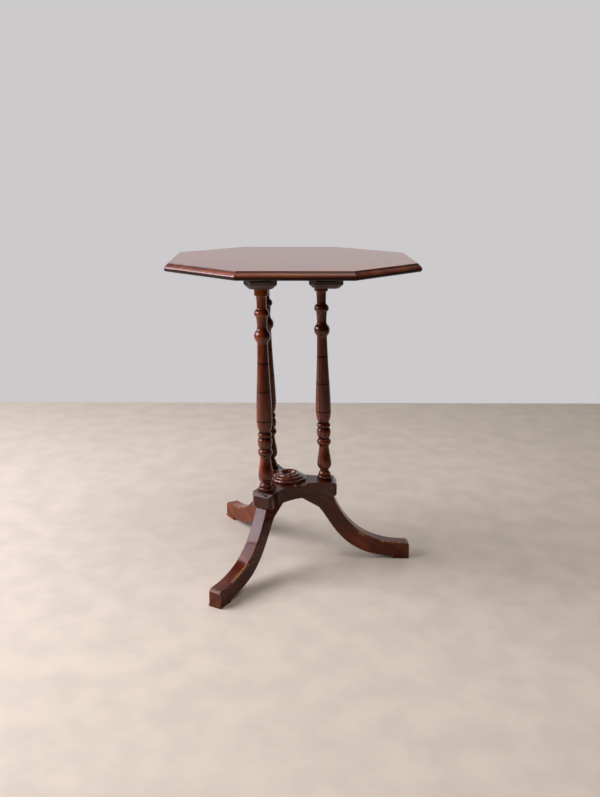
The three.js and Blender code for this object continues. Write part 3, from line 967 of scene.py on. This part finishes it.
@dataclass
class Block:
    """A canted block on a column, with a notch in its front and back upper edges."""

    corner: float = 14.0
    chamfer_out: float = 10.0
    chamfer_up: float = 9.0
    notch_floor: float = 16.0
    notch_depth: float = 12.0
    notch_floor_width: float = 41.0
    notch_top_width: float = 51.0
    socket: float = 10.3

    def build(self, station: Station, axis: LeaningAxis, finish: Finish) -> None:
        """Makes one block from a cube.

        Args:
            station: Where it stands.
            axis: The axis of the column under it.
            finish: Its material.
        """
        node = f"block_{station.label}"
        low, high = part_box(node)
        centre = (low + high) / 2.0
        Bench.canted_box(low + Vector((0.0, 0.0, self.chamfer_up * MM)), high, self.corner)
        Bench.taper_underside(self.chamfer_out, self.chamfer_up)
        block = Bench.leave(f"canted_block_{station.label}")
        for side, face in ((-1.0, low.y), (1.0, high.y)):
            Bench.carve(block, self._notch(centre.x, face, side, low.z, high.z))
        socket = Bench.round_hole(low.z - OVERCUT, high.z + OVERCUT, self.socket * MM)
        Bench.drill(block, axis.at(centre.z), socket, 48)
        Bench.soften(block, 0.6, 2)
        Bench.shade(block)
        mount(block, Body.BASE, "mahogany_dark", finish, node)

    def _notch(self, x: float, face: float, side: float, bottom: float, top: float) -> Piece:
        """The body that cuts one notch: a bar wider at its top than at its floor.

        Args:
            x: Its middle.
            face: Where the block's face is.
            side: -1 for the front face, 1 for the back one.
            bottom: The height of the block's underside.
            top: The height of the block's top.

        Returns:
            The cutter.
        """
        floor = bottom + self.notch_floor * MM
        rise = top - floor + 2.0 * OVERCUT
        widen = (self.notch_top_width - self.notch_floor_width) * MM * rise / (top - floor) / 2.0
        half = self.notch_floor_width * MM / 2.0
        start = face + side * OVERCUT
        corners = [(-half, floor), (half, floor), (half + widen, floor + rise), (-half - widen, floor + rise)]
        section = [Vector((x + across, start, height)) for across, height in corners]
        Bench.slab(section, Vector((0.0, -side * (self.notch_depth * MM + OVERCUT), 0.0)))
        return Bench.leave("notch_cutter")


@dataclass
class Platform:
    """The three-eared platform that the columns stand on, and the boss at its centre."""

    node: str = "platform"
    boss_node: str = "platform_boss"
    ear_half_width: float = 18.0
    ear_corner: float = 7.5
    waist: float = 47.5
    arc_steps: int = 40
    ear_top_bevel: float = 7.0
    ear_bottom_bevel: float = 3.5
    column_socket: float = 9.3
    column_tenon_depth: float = 22.3
    nail_radius: float = 1.6
    nail_offset: float = 11.0
    nail_shade_rim: float = 0.4
    hole_depth: float = 10.0
    spigot: float = 8.0
    gap: float = 0.3
    boss: Turning = Turning((
        ((0.3, 38.2), (3.7, 40.6), (7.2, 37.4)),
        ((7.4, 35.4), (7.9, 34.6)),
        ((7.9, 34.6), (9.2, 34.6), (10.6, 33.6), (11.8, 31.4), (12.6, 28.8), (13.6, 26.8)),
        ((13.6, 26.8), (15.6, 25.0), (16.6, 21.8), (15.3, 18.0), (12.4, 15.4), (9.8, 12.6), (8.5, 9.4),
         (8.3, 6.6)),
        ((8.3, 6.6), (9.6, 5.5), (11.4, 5.1), (12.5, 3.6), (13.0, 1.6), (13.0, 0.0)),
    ), 0.6)

    def build(self, axes: Sequence[LeaningAxis], finish: Finish, boss_finish: Finish) -> None:
        """Makes the platform and its boss.

        Args:
            axes: The columns' axes.
            finish: The platform's material.
            boss_finish: The boss's material.
        """
        low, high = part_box(self.node)
        up, top = Vector((0.0, 0.0, 1.0)), high.z + OVERCUT
        Bench.slab([Vector((x, y, low.z)) for x, y in self._outline()], up * (high.z - low.z))
        for station in Station:
            outward, end = station.value.outward(), station.value.ear_end
            top_at = outward * (end - self.ear_top_bevel) * MM + up * high.z
            Bench.slice_off(top_at, (outward + up).normalized())
            low_at = outward * (end - self.ear_bottom_bevel) * MM + up * low.z
            Bench.slice_off(low_at, (outward - up).normalized())
        Bench.close()
        platform = Bench.leave("triform_platform")
        floor = high.z - self.column_tenon_depth * MM
        for axis in axes:
            socket = Bench.round_hole(floor, top, self.column_socket * MM)
            Bench.drill(platform, axis.at((floor + high.z) / 2.0), socket, 36)
        boss_centre = middle(self.boss_node)
        front = Station.FRONT.value
        nail = front.on_ear(front.ear_end - self.ear_top_bevel / 2.0, self.nail_offset)
        for at, radius in ((boss_centre, self.spigot + self.gap), (nail, self.nail_radius)):
            Bench.drill(platform, at, Bench.round_hole(high.z - self.hole_depth * MM, top, radius * MM), 36)
        Bench.soften(platform, 1.1, 3)
        # Painted shade: the nail hole and a thin rim round it are darkened.
        nail_shaded = (self.nail_radius + self.nail_shade_rim) * MM
        Bench.paint_shade(
            platform, lambda place: float(math.hypot(place.x - nail.x, place.y - nail.y) < nail_shaded)
        )
        Bench.shade(platform)
        mount(platform, Body.BASE, "mahogany", finish, self.node)
        self._build_boss(boss_centre, high.z, boss_finish)

    def _outline(self) -> list[tuple[float, float]]:
        """The platform's plan, in metres: each ear's end, then the concave side to the next ear."""
        stances = [station.value for station in Station]
        whole: list[tuple[float, float]] = []
        for i, stance in enumerate(stances):
            following = stances[(i + 1) % 3]
            between = (following.ear_angle - stance.ear_angle) % 360.0
            halfway = math.radians(stance.ear_angle + between / 2.0)
            corners = self._ear(stance)
            deepest = (self.waist * MM * math.cos(halfway), self.waist * MM * math.sin(halfway))
            whole += corners + self._arc(corners[3], deepest, self._ear(following)[0])
        return whole

    def _ear(self, stance: Stance) -> list[tuple[float, float]]:
        """The four corners of an ear's end, in the order of the outline."""
        end, half, corner = stance.ear_end, self.ear_half_width, self.ear_corner
        drawn = [(end - corner, -half - corner), (end, -half), (end, half), (end - corner, half + corner)]
        return [tuple(stance.on_ear(x, y).xy) for x, y in drawn]

    def _arc(self, a: Sequence[float], b: Sequence[float], c: Sequence[float]) -> list[tuple[float, float]]:
        """Points along the arc from a to c through b, without its ends."""
        double = 2.0 * (a[0] * (b[1] - c[1]) + b[0] * (c[1] - a[1]) + c[0] * (a[1] - b[1]))
        sa, sb, sc = (p[0] ** 2 + p[1] ** 2 for p in (a, b, c))
        x = (sa * (b[1] - c[1]) + sb * (c[1] - a[1]) + sc * (a[1] - b[1])) / double
        y = (sa * (c[0] - b[0]) + sb * (a[0] - c[0]) + sc * (b[0] - a[0])) / double
        radius = math.hypot(a[0] - x, a[1] - y)
        start = math.atan2(a[1] - y, a[0] - x)
        sweep = math.remainder(math.atan2(c[1] - y, c[0] - x) - start, math.tau)
        steps = [start + sweep * i / self.arc_steps for i in range(1, self.arc_steps)]
        return [(x + radius * math.cos(at), y + radius * math.sin(at)) for at in steps]

    def _build_boss(self, centre: Vector, base: float, finish: Finish) -> None:
        """Turns the boss.

        Args:
            centre: A point on its axis.
            base: The height of the platform's top, in metres.
            finish: Its material.
        """
        low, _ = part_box(self.boss_node)
        line = [(low.z, 0.0), (low.z, self.spigot * MM), (base + self.gap * MM, self.spigot * MM)]
        line += [(base + h * MM, r * MM) for h, r in self.boss.points()]
        section = [Vector((centre.x + r, centre.y, z)) for z, r in line]
        Bench.lathe(section, centre, 72)
        boss = Bench.leave("turned_boss")
        # Painted shade in the boss's dish and in the quirk between its steps.
        Bench.paint_shade(
            boss, lambda place: self._boss_painted_shade(math.dist(place.xy, centre.xy) / MM, (place.z - base) / MM)
        )
        Bench.shade(boss, 40.0, flats=False)
        mount(boss, Body.BASE, "mahogany", finish, self.boss_node)

    @staticmethod
    def _boss_painted_shade(radius: float, height: float) -> float:
        """How far painted shade darkens the boss's dish, and the quirk between its steps.

        Args:
            radius: How far a place is from the boss's axis, in millimetres.
            height: How high it is above the platform, in millimetres.

        Returns:
            How dark it is, 1 at the most.
        """
        dish_radius, dish_spread, dish_rim = 9.0, 7.0, 13.5
        quirk_radius, quirk_height, quirk_spread = 35.0, 7.6, 2.2
        dish = 1.0 - abs(radius - dish_radius) / dish_spread if height < dish_rim else 0.0
        return max(dish, 1.0 - math.hypot(radius - quirk_radius, height - quirk_height) / quirk_spread)


@dataclass
class SabreLeg:
    """A curved leg with its foot pad."""

    reach: float = 290.0
    width: float = 30.0
    foot_height: float = 34.0
    arris: float = 2.6
    gap: float = 0.3
    pad_length: float = 38.0
    pad_chamfer: float = 0.8

    def build(self, station: Station, finish: Finish) -> None:
        """Makes one leg and its pad.

        Args:
            station: Where it stands.
            finish: Its material.
        """
        node, pad_node = f"leg_{station.label}", f"foot_pad_{station.label}"
        pad_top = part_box(pad_node)[1].z / MM
        platform_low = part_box("platform")[0].z / MM
        side = self._side(pad_top + self.gap, platform_low - self.gap)
        half, on_leg = self.width / 2.0, station.value.on_leg
        Bench.slab([on_leg(r, -half, z) for r, z in side], on_leg(0.0, half, 0.0) - on_leg(0.0, -half, 0.0))
        leg = Bench.leave(f"sabre_leg_{station.label}")
        Bench.soften(leg, self.arris, 4, 40.0)
        Bench.shade(leg, 30.0)
        mount(leg, Body.BASE, "mahogany", finish, node)
        self._build_pad(station, pad_node, pad_top, finish)

    def _side(self, sole: float, head: float) -> list[tuple[float, float]]:
        """The leg's side outline.

        Args:
            sole: The height of its sole, in millimetres.
            head: The height of its head, in millimetres.

        Returns:
            (distance from the centre, height) points.
        """
        instep = (self.reach - 6.0, self.foot_height + 5.5)
        outer = self._curve(instep, (165.7, 38.5), (130.3, 110.0), (109.0, head))
        inner = self._curve((77.0, 128.5), (110.0, 90.0), (132.2, 8.5), (250.0, sole))
        return [(self.reach, sole), (self.reach, self.foot_height), *outer, (24.0, head), *inner]

    @staticmethod
    def _curve(a: tuple, b: tuple, c: tuple, d: tuple, steps: int = 36) -> list[tuple[float, float]]:
        """Points along a cubic curve with two handles."""
        drawn = []
        for i in range(steps + 1):
            t = i / steps
            s = 1.0 - t
            shares = (s**3, 3 * s * s * t, 3 * s * t * t, t**3)
            drawn.append(tuple(sum(w * p for w, p in zip(shares, place)) for place in zip(a, b, c, d)))
        return drawn

    def _build_pad(self, station: Station, node: str, top: float, finish: Finish) -> None:
        """Makes the pad under the foot, with a small chamfer round its tread.

        Args:
            station: Where it stands.
            node: Its CAD node.
            top: The height of its upper face, in millimetres.
            finish: Its material.
        """
        half, tip, heel = self.width / 2.0, self.reach, self.reach - self.pad_length
        corners = ((tip, -half), (tip, half), (heel, half), (heel, -half))
        outline = [station.value.on_leg(x, y, top) for x, y in corners]
        Bench.slab(outline, Vector((0.0, 0.0, (self.pad_chamfer - top) * MM)))
        Bench.taper_underside(self.pad_chamfer, self.pad_chamfer)
        pad = Bench.leave(f"foot_block_{station.label}")
        Bench.soften(pad, 0.4, 2, 50.0)
        Bench.shade(pad)
        mount(pad, Body.BASE, "mahogany", finish, node)


@dataclass
class Cleat:
    """The canted cleat that is screwed under the top above a block."""

    corner: float = 14.0
    screw_offset: float = 22.0
    screw_clearance: float = 2.2
    screw_head: float = 3.9
    head_depth: float = 0.9
    sink_depth: float = 3.2

    def build(self, station: Station, finish: Finish) -> None:
        """Makes one cleat.

        Args:
            station: The station that it is above.
            finish: Its material.
        """
        node = f"cleat_{station.label}"
        low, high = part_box(node)
        centre = (low + high) / 2.0
        Bench.canted_box(low, high, self.corner)
        Bench.close()
        cleat = Bench.leave(f"canted_cleat_{station.label}")
        for side in (-1.0, 1.0):
            at = Vector((centre.x, centre.y + side * self.screw_offset * MM, 0.0))
            Bench.drill(cleat, at, self._screw_hole(low.z, high.z), 24)
        Bench.soften(cleat, 0.5, 2, 50.0)
        Bench.shade(cleat)
        mount(cleat, Body.TOP, "mahogany_dark", finish, node)

    def _screw_hole(self, bottom: float, top: float) -> Outline:
        """The cutter's line for a screw's hole, countersunk from below, in metres."""
        clear, head = self.screw_clearance * MM, self.screw_head * MM
        return [
            (0.0, bottom - OVERCUT), (head, bottom - OVERCUT), (head, bottom + self.head_depth * MM),
            (clear, bottom + self.sink_depth * MM), (clear, top + OVERCUT), (0.0, top + OVERCUT),
        ]


@dataclass
class Fittings:
    """The hinges and screws, whose CAD shapes are kept and given their metals."""

    def dress(self, nodes: dict[str, Piece], brass: Finish, steel: Finish) -> None:
        """Gives each hinge node brass and each screw steel.

        Args:
            nodes: The CAD nodes by name.
            brass: The hinges' material.
            steel: The screws' material.
        """
        for name, node in nodes.items():
            if node.hide_render:
                continue
            metal = steel if "screw" in name else brass
            for place in node.material_slots:
                place.material = metal
            LOG.info("%s: CAD shape kept, finished in %s", name, metal.name)


# ---- studio -------------------------------------------------------------------------------


@dataclass(frozen=True)
class Lamp:
    """A soft rectangular light: its place, the point that it faces, its size, watts and colour."""

    name: str
    place: tuple[float, float, float]
    towards: tuple[float, float, float]
    size: tuple[float, float]
    power: float
    colour: Colour

    def hang(self) -> None:
        """Adds the light to the scene."""
        data = bpy.data.lights.new(self.name, "AREA")
        data.shape, data.size, data.size_y = "RECTANGLE", *self.size
        data.energy, data.color = self.power, self.colour
        lamp = bpy.data.objects.new(self.name, data)
        lamp.location = self.place
        lamp.rotation_euler = (Vector(self.towards) - Vector(self.place)).to_track_quat("-Z", "Y").to_euler()
        bpy.context.scene.collection.objects.link(lamp)


@dataclass
class Studio:
    """The floor, the soft light and the camera. Angles are in degrees."""

    eye: tuple[float, float, float] = (0.019392, -1.877873, 0.888747)
    yaw: float = -0.39745
    down: float = 15.02205
    roll: float = 0.25659
    focal_pixels: float = 863.734
    frame_width: float = 600.0
    sensor_width: float = 36.0
    wall: Colour = (0.605, 0.590, 0.603)
    room: Colour = (1.0, 0.985, 1.0)
    floor_back: float = 1.37
    floor_size: tuple[float, float] = (10.0, 8.0)
    lamps: tuple[Lamp, ...] = (
        Lamp("window_light", (-2.4, -0.35, 1.55), (0.0, -0.1, 0.5), (2.3, 1.3), 104.0, (0.92, 0.90, 1.0)),
        Lamp("skylight", (-1.55, 0.0, 2.6), (0.0, 0.0, 0.3), (1.3, 1.3), 30.0, (0.93, 0.91, 1.0)),
        Lamp("ceiling_fill", (0.55, -0.65, 2.7), (0.1, 0.0, 0.3), (2.8, 1.0), 30.0, (1.0, 0.95, 0.88)),
    )

    def build(self) -> None:
        """Sets the studio up round the table."""
        self._floor()
        self._light()
        self._camera()

    def _floor(self) -> None:
        """Lays a pale floor that ends where the backdrop starts."""
        width, depth = self.floor_size
        bpy.ops.object.select_all(action="DESELECT")
        bpy.ops.mesh.primitive_plane_add(size=1.0, location=(0.0, self.floor_back - depth / 2.0, 0.0))
        bpy.ops.object.mode_set(mode="EDIT")
        bpy.ops.mesh.select_all(action="SELECT")
        bpy.ops.transform.resize(value=(width, depth, 1.0))
        bpy.ops.mesh.subdivide(number_cuts=3)
        floor = Bench.leave("studio_floor")
        floor.data.materials.append(StudioFloor().build())

    def _light(self) -> None:
        """Makes a pale room that is bright on the left and dim on the right, and a window light."""
        world = bpy.data.worlds.new("studio")
        bpy.context.scene.world = world
        world.use_nodes = True
        sheet = NodeSheet(world.node_tree)
        way = sheet.node("ShaderNodeTexCoord", {}, {}).outputs["Generated"]
        parts = sheet.node("ShaderNodeSeparateXYZ", {}, {"Vector": way})
        left = Signal(sheet, parts.outputs[0]).between(-0.10, -0.95)
        back = Signal(sheet, parts.outputs[1]).between(0.30, 0.80)
        glow = (0.010 + left * 0.24).highest(back * 0.64)
        seen = sheet.node("ShaderNodeLightPath", {}, {}).outputs["Is Camera Ray"]
        room = sheet.mix(glow, (0.0, 0.0, 0.0), self.room)
        colour = sheet.mix(seen, room, self.wall)
        sky = sheet.node("ShaderNodeBackground", {}, {"Color": colour, "Strength": 1.0})
        sheet.node("ShaderNodeOutputWorld", {}, {"Surface": sky.outputs[0]})
        for lamp in self.lamps:
            lamp.hang()

    def _camera(self) -> None:
        """Places the camera."""
        yaw, down, roll = (math.radians(a) for a in (self.yaw, self.down, self.roll))
        forward = Vector((-math.sin(yaw) * math.cos(down), math.cos(yaw) * math.cos(down), -math.sin(down)))
        right = Vector((math.cos(yaw), math.sin(yaw), 0.0))
        up = right.cross(forward)
        tilted_right = right * math.cos(roll) + up * math.sin(roll)
        tilted_up = up * math.cos(roll) - right * math.sin(roll)
        data = bpy.data.cameras.new("camera")
        data.sensor_fit, data.sensor_width = "HORIZONTAL", self.sensor_width
        data.lens = self.focal_pixels / self.frame_width * self.sensor_width
        data.clip_start, data.clip_end = 0.05, 60.0
        camera = bpy.data.objects.new("camera", data)
        turn = Matrix((tilted_right, tilted_up, -forward)).transposed().to_4x4()
        camera.matrix_world = Matrix.Translation(self.eye) @ turn
        bpy.context.scene.collection.objects.link(camera)
        bpy.context.scene.camera = camera
        bpy.context.scene.view_settings.view_transform = "Standard"


def leg_finish(station: Station) -> Mahogany:
    """The leg's mahogany, with its grain along the leg and its rubbed places; the back leg's is paler and
    more orange, as painted light.

    Args:
        station: The leg's station.

    Returns:
        The finish.
    """
    rubbed = {
        Station.FRONT: [(186.0 + 8.0 * i, 14.6, 58.2 - 2.2 * i, 6.5) for i in range(8)],
        Station.RIGHT: [(174.0, -14.6, 65.5, 6.0), (181.0, -14.6, 62.0, 6.0), (227.0, -14.6, 46.0, 7.0)],
        Station.BACK: [(222.0, 14.0, 48.0, 7.0)],
    }
    stance = station.value
    spots = [RubbedSpot(*(stance.on_leg(x, y, z) / MM), radius) for x, y, z, radius in rubbed[station]]
    # Painted light: the back leg, which the window light falls on, gets a paler, more orange copy of the
    # wood.
    painted_light_tones = {"body": (0.150, 0.0260, 0.0060), "glow": (0.420, 0.1000, 0.0180)}
    return Mahogany(
        f"mahogany_leg_{station.label}", polish=0.42, sheen=0.06, grain_turn=stance.leg_angle,
        grain_pitch=-32.0, figure_scale=60.0, wear=0.7, spots=tuple(spots),
        **(painted_light_tones if station is Station.BACK else {}),
    )


def main() -> None:
    """Builds the table and the studio, piece by piece."""
    logging.basicConfig(level=logging.INFO, format="%(name)s: %(message)s", stream=sys.stdout)
    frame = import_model()

    top_wood = Mahogany(
        "mahogany_top", deep=(0.070, 0.0130, 0.0050), body=(0.180, 0.0380, 0.0130),
        glow=(0.330, 0.0900, 0.0300), roughness=0.24, polish=0.62, polish_roughness=0.14,
        figure_scale=42.0, wear=0.4,
    ).build()
    turned_wood = Mahogany(
        "mahogany_turned", deep=(0.036, 0.0046, 0.0016), body=(0.100, 0.0145, 0.0032),
        glow=(0.340, 0.0720, 0.0100), grain_pitch=90.0, figure_scale=85.0, roughness=0.16,
        polish=0.7, polish_roughness=0.05, sheen=0.04,
    ).build()
    platform_wood = Mahogany(
        "mahogany_platform", deep=(0.018, 0.0028, 0.0012), body=(0.050, 0.0072, 0.0022),
        glow=(0.170, 0.0360, 0.0070), grain_turn=20.0, wear=0.8, sheen=0.05,
        spots=(
            RubbedSpot(41.1, -32.4, 192.0, 8.0), RubbedSpot(45.9, -30.5, 192.5, 6.0),
            RubbedSpot(22.0, -42.2, 192.5, 5.0),
        ),
    ).build()
    boss_wood = Mahogany(
        "mahogany_boss", grain_turn=70.0, roughness=0.13, polish=1.0, polish_roughness=0.05,
        figure_scale=80.0,
    ).build()
    dull_wood = Mahogany(
        "mahogany_unpolished", deep=(0.042, 0.0260, 0.0220), body=(0.088, 0.0600, 0.0540),
        glow=(0.160, 0.1180, 0.1050), worn=(0.16, 0.12, 0.10), roughness=0.46,
        polish=0.1, polish_roughness=0.3, wear=0.6,
    ).build()
    brass = AgedMetal("aged_brass", (0.54, 0.36, 0.12), (0.20, 0.12, 0.045), 0.30).build()
    steel = AgedMetal("dull_steel", (0.32, 0.30, 0.27), (0.12, 0.10, 0.085), 0.38).build()

    axes = {station: LeaningAxis.of(frame["nodes"][f"column_{station.label}"]) for station in Station}
    MouldedTop().build(top_wood)
    for station, axis in axes.items():
        Cleat().build(station, dull_wood)
        Block().build(station, axis, dull_wood)
        Column().build(station, axis, turned_wood)
        SabreLeg().build(station, leg_finish(station).build())
    Platform().build(list(axes.values()), platform_wood, boss_wood)
    Fittings().dress(frame["nodes"], brass, steel)
    Studio().build()


if __name__ == "__main__":
    main()
